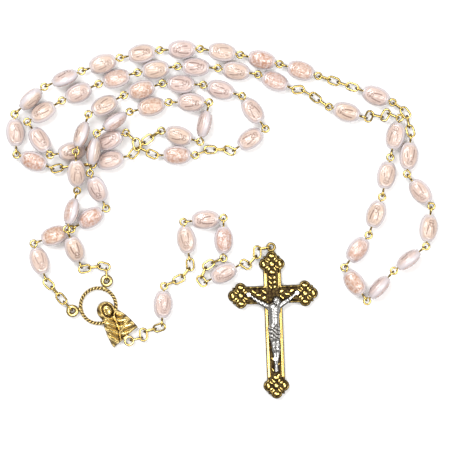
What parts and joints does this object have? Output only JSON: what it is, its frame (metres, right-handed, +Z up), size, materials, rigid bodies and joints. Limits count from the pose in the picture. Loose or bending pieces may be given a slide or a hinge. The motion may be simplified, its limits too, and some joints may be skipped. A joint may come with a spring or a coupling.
{
  "type": "rosary",
  "caption": "Glass-beaded rosary laid flat: a crossed loop of beads on eye pins with oval chain links, a ring centrepiece with a veiled bust, and a pendant that ends in a trefoil crucifix.",
  "frame": {"origin": "on the flat back of the centrepiece, under the middle of the veiled bust, at table height", "axes": "+Z up from the table; +X along the longest extent of the string as laid, from the decades at the left to those at the right; +Y across the table, from the foot of the crucifix towards the top of the loop"},
  "size_m": [0.13, 0.1081, 0.009],
  "materials": {
    "glass_bead": "pressed glass, pale pink-lilac rim over a peach middle, low relief with brown stain in it",
    "gold_wire": "bright gold plate, drawn wire",
    "cast_gold": "gold-plated casting with dark brown in the recesses",
    "antique_gold": "antique gold plate, bright borders round a dark bronze panel",
    "antique_silver": "antique silver plate, darkened in the recesses"
  },
  "bodies": {
    "centrepiece_and_loop": {"centrepiece": "cast_gold", "chain_1": "gold_wire", "chain_10": "gold_wire", "chain_2": "gold_wire", "chain_3": "gold_wire", "chain_4": "gold_wire", "chain_5": "gold_wire", "chain_6": "gold_wire", "chain_7": "gold_wire", "chain_8": "gold_wire", "chain_9": "gold_wire", "decade_1_beads": "glass_bead", "decade_1_pins": "gold_wire", "decade_2_beads": "glass_bead", "decade_2_pins": "gold_wire", "decade_3_beads": "glass_bead", "decade_3_pins": "gold_wire", "decade_4_beads": "glass_bead", "decade_4_pins": "gold_wire", "decade_5_beads": "glass_bead", "decade_5_pins": "gold_wire", "single_pin_1": "gold_wire", "single_pin_2": "gold_wire", "single_pin_3": "gold_wire", "single_pin_4": "gold_wire"},
    "chain_11_link_1": {"chain_11_link_1": "gold_wire"},
    "chain_11_link_2": {"chain_11_link_2": "gold_wire"},
    "chain_11_link_3": {"chain_11_link_3": "gold_wire"},
    "chain_11_link_4": {"chain_11_link_4": "gold_wire"},
    "pendant_pin_1": {"pendant_pin_1": "gold_wire"},
    "pendant_bead_1": {"pendant_bead_1": "glass_bead"},
    "chain_12_link_1": {"chain_12_link_1": "gold_wire"},
    "chain_12_link_2": {"chain_12_link_2": "gold_wire"},
    "chain_12_link_3": {"chain_12_link_3": "gold_wire"},
    "chain_12_link_4": {"chain_12_link_4": "gold_wire"},
    "pendant_pin_2": {"pendant_pin_2": "gold_wire"},
    "pendant_bead_2": {"pendant_bead_2": "glass_bead"},
    "pendant_pin_3": {"pendant_pin_3": "gold_wire"},
    "pendant_bead_3": {"pendant_bead_3": "glass_bead"},
    "pendant_pin_4": {"pendant_pin_4": "gold_wire"},
    "pendant_bead_4": {"pendant_bead_4": "glass_bead"},
    "chain_13_link_1": {"chain_13_link_1": "gold_wire"},
    "chain_13_link_2": {"chain_13_link_2": "gold_wire"},
    "chain_13_link_3": {"chain_13_link_3": "gold_wire"},
    "chain_13_link_4": {"chain_13_link_4": "gold_wire"},
    "pendant_pin_5": {"pendant_pin_5": "gold_wire"},
    "pendant_bead_5": {"pendant_bead_5": "glass_bead"},
    "chain_14_link_1": {"chain_14_link_1": "gold_wire"},
    "chain_14_link_2": {"chain_14_link_2": "gold_wire"},
    "chain_14_link_3": {"chain_14_link_3": "gold_wire"},
    "chain_14_link_4": {"chain_14_link_4": "gold_wire"},
    "single_bead_1": {"single_bead_1": "glass_bead"},
    "single_bead_2": {"single_bead_2": "glass_bead"},
    "single_bead_3": {"single_bead_3": "glass_bead"},
    "single_bead_4": {"single_bead_4": "glass_bead"},
    "crucifix": {"crucifix_cross": "antique_gold", "crucifix_figure": "antique_silver", "crucifix_rivets": "antique_silver"}
  },
  "joints": [
    {"name": "chain_11_link_1_swing", "type": "hinge", "parent": "centrepiece_and_loop", "child": "chain_11_link_1", "pos_m": [0.00416, -0.00473, 0.00145], "axis": [0, 0, 1], "range_deg": [-30, 10]},
    {"name": "chain_11_link_2_lift", "type": "hinge", "parent": "chain_11_link_1", "child": "chain_11_link_2", "pos_m": [0.00716, -0.00397, 0.00138], "axis": [0.2461, -0.9693, 0], "range_deg": [-10, 30]},
    {"name": "chain_11_link_3_swing", "type": "hinge", "parent": "chain_11_link_2", "child": "chain_11_link_3", "pos_m": [0.00843, -0.00208, 0.00138], "axis": [0, 0, -1], "range_deg": [-30, 30]},
    {"name": "chain_11_link_4_lift", "type": "hinge", "parent": "chain_11_link_3", "child": "chain_11_link_4", "pos_m": [0.01127, -0.00128, 0.00138], "axis": [-0.2704, 0.9628, 0], "range_deg": [-30, 10]},
    {"name": "pendant_pin_1_swing", "type": "hinge", "parent": "chain_11_link_4", "child": "pendant_pin_1", "pos_m": [0.01402, -0.00049, 0.00211], "axis": [0, 0, 1], "range_deg": [-30, 30]},
    {"name": "chain_12_link_1_lift", "type": "hinge", "parent": "pendant_pin_1", "child": "chain_12_link_1", "pos_m": [0.01589, 0.01233, 0.00221], "axis": [0.4196, -0.9077, 0], "range_deg": [-10, 30]},
    {"name": "chain_12_link_2_swing", "type": "hinge", "parent": "chain_12_link_1", "child": "chain_12_link_2", "pos_m": [0.01848, 0.01353, 0.00159], "axis": [0, 0, -1], "range_deg": [-30, 30]},
    {"name": "chain_12_link_3_lift", "type": "hinge", "parent": "chain_12_link_2", "child": "chain_12_link_3", "pos_m": [0.02076, 0.01528, 0.00138], "axis": [-0.7685, 0.6399, 0], "range_deg": [-30, 10]},
    {"name": "chain_12_link_4_swing", "type": "hinge", "parent": "chain_12_link_3", "child": "chain_12_link_4", "pos_m": [0.02264, 0.01753, 0.0016], "axis": [0, 0, 1], "range_deg": [-30, 30]},
    {"name": "pendant_pin_2_lift", "type": "hinge", "parent": "chain_12_link_4", "child": "pendant_pin_2", "pos_m": [0.02234, 0.0203, 0.0022], "axis": [0.9865, 0.1638, 0], "range_deg": [-10, 30]},
    {"name": "pendant_pin_3_swing", "type": "hinge", "parent": "pendant_pin_2", "child": "pendant_pin_3", "pos_m": [0.02054, 0.03115, 0.0022], "axis": [0, 0, -1], "range_deg": [-30, 5]},
    {"name": "pendant_pin_4_lift", "type": "hinge", "parent": "pendant_pin_3", "child": "pendant_pin_4", "pos_m": [0.03267, 0.0312, 0.00221], "axis": [1, -0.0034, 0], "range_deg": [-30, 10]},
    {"name": "chain_13_link_1_swing", "type": "hinge", "parent": "pendant_pin_4", "child": "chain_13_link_1", "pos_m": [0.03263, 0.0202, 0.00221], "axis": [0, 0, 1], "range_deg": [-10, 30]},
    {"name": "chain_13_link_2_lift", "type": "hinge", "parent": "chain_13_link_1", "child": "chain_13_link_2", "pos_m": [0.03007, 0.01918, 0.00169], "axis": [-0.3699, 0.9291, 0], "range_deg": [-10, 30]},
    {"name": "chain_13_link_3_swing", "type": "hinge", "parent": "chain_13_link_2", "child": "chain_13_link_3", "pos_m": [0.02748, 0.01781, 0.00147], "axis": [0, 0, -1], "range_deg": [0, 25]},
    {"name": "chain_13_link_4_lift", "type": "hinge", "parent": "chain_13_link_3", "child": "chain_13_link_4", "pos_m": [0.02627, 0.01513, 0.00138], "axis": [0.9109, -0.4125, 0], "range_deg": [-30, 10]},
    {"name": "pendant_pin_5_swing", "type": "hinge", "parent": "chain_13_link_4", "child": "pendant_pin_5", "pos_m": [0.02656, 0.0127, 0.00215], "axis": [0, 0, 1], "range_deg": [-30, 0]},
    {"name": "chain_14_link_1_lift", "type": "hinge", "parent": "pendant_pin_5", "child": "chain_14_link_1", "pos_m": [0.03757, 0.01817, 0.00223], "axis": [0.4452, -0.8954, 0], "range_deg": [-10, 30]},
    {"name": "chain_14_link_2_swing", "type": "hinge", "parent": "chain_14_link_1", "child": "chain_14_link_2", "pos_m": [0.03993, 0.01795, 0.00145], "axis": [0, 0, -1], "range_deg": [-30, 15]},
    {"name": "chain_14_link_3_lift", "type": "hinge", "parent": "chain_14_link_2", "child": "chain_14_link_3", "pos_m": [0.04188, 0.02016, 0.00138], "axis": [-0.7497, 0.6618, 0], "range_deg": [-30, 10]},
    {"name": "chain_14_link_4_swing", "type": "hinge", "parent": "chain_14_link_3", "child": "chain_14_link_4", "pos_m": [0.04282, 0.02276, 0.00138], "axis": [0, 0, 1], "range_deg": [-10, 30]},
    {"name": "crucifix_swing", "type": "hinge", "parent": "chain_14_link_4", "child": "crucifix", "pos_m": [0.04699, 0.02359, 0.00145], "axis": [0, 0, -1], "range_deg": [-30, 5]},
    {"name": "pendant_bead_1_spin", "type": "hinge", "parent": "pendant_pin_1", "child": "pendant_bead_1", "pos_m": [0.0144, 0.00629, 0.00221], "axis": [0.0562, 0.9984, 0], "continuous": true},
    {"name": "pendant_bead_2_spin", "type": "hinge", "parent": "pendant_pin_2", "child": "pendant_bead_2", "pos_m": [0.02144, 0.02572, 0.0022], "axis": [-0.1638, 0.9865, 0], "continuous": true},
    {"name": "pendant_bead_3_spin", "type": "hinge", "parent": "pendant_pin_3", "child": "pendant_bead_3", "pos_m": [0.0272, 0.03183, 0.00221], "axis": [0.9947, 0.1026, 0.001], "continuous": true},
    {"name": "pendant_bead_4_spin", "type": "hinge", "parent": "pendant_pin_4", "child": "pendant_bead_4", "pos_m": [0.03265, 0.0257, 0.00221], "axis": [-0.0034, -1, 0], "continuous": true},
    {"name": "pendant_bead_5_spin", "type": "hinge", "parent": "pendant_pin_5", "child": "pendant_bead_5", "pos_m": [0.03264, 0.01572, 0.00223], "axis": [0.8954, 0.4452, 0], "continuous": true},
    {"name": "single_bead_1_spin", "type": "hinge", "parent": "centrepiece_and_loop", "child": "single_bead_1", "pos_m": [-0.00148, 0.04971, 0.00221], "axis": [-0.9725, -0.2328, 0], "continuous": true},
    {"name": "single_bead_2_spin", "type": "hinge", "parent": "centrepiece_and_loop", "child": "single_bead_2", "pos_m": [0.07851, 0.06917, 0.0022], "axis": [0.9327, -0.3605, 0], "continuous": true},
    {"name": "single_bead_3_spin", "type": "hinge", "parent": "centrepiece_and_loop", "child": "single_bead_3", "pos_m": [0.06968, 0.06428, 0.0022], "axis": [-0.9593, 0.2825, 0], "continuous": true},
    {"name": "single_bead_4_spin", "type": "hinge", "parent": "centrepiece_and_loop", "child": "single_bead_4", "pos_m": [0.01861, 0.05125, 0.0022], "axis": [1, 0.0004, 0], "continuous": true}
  ]
}
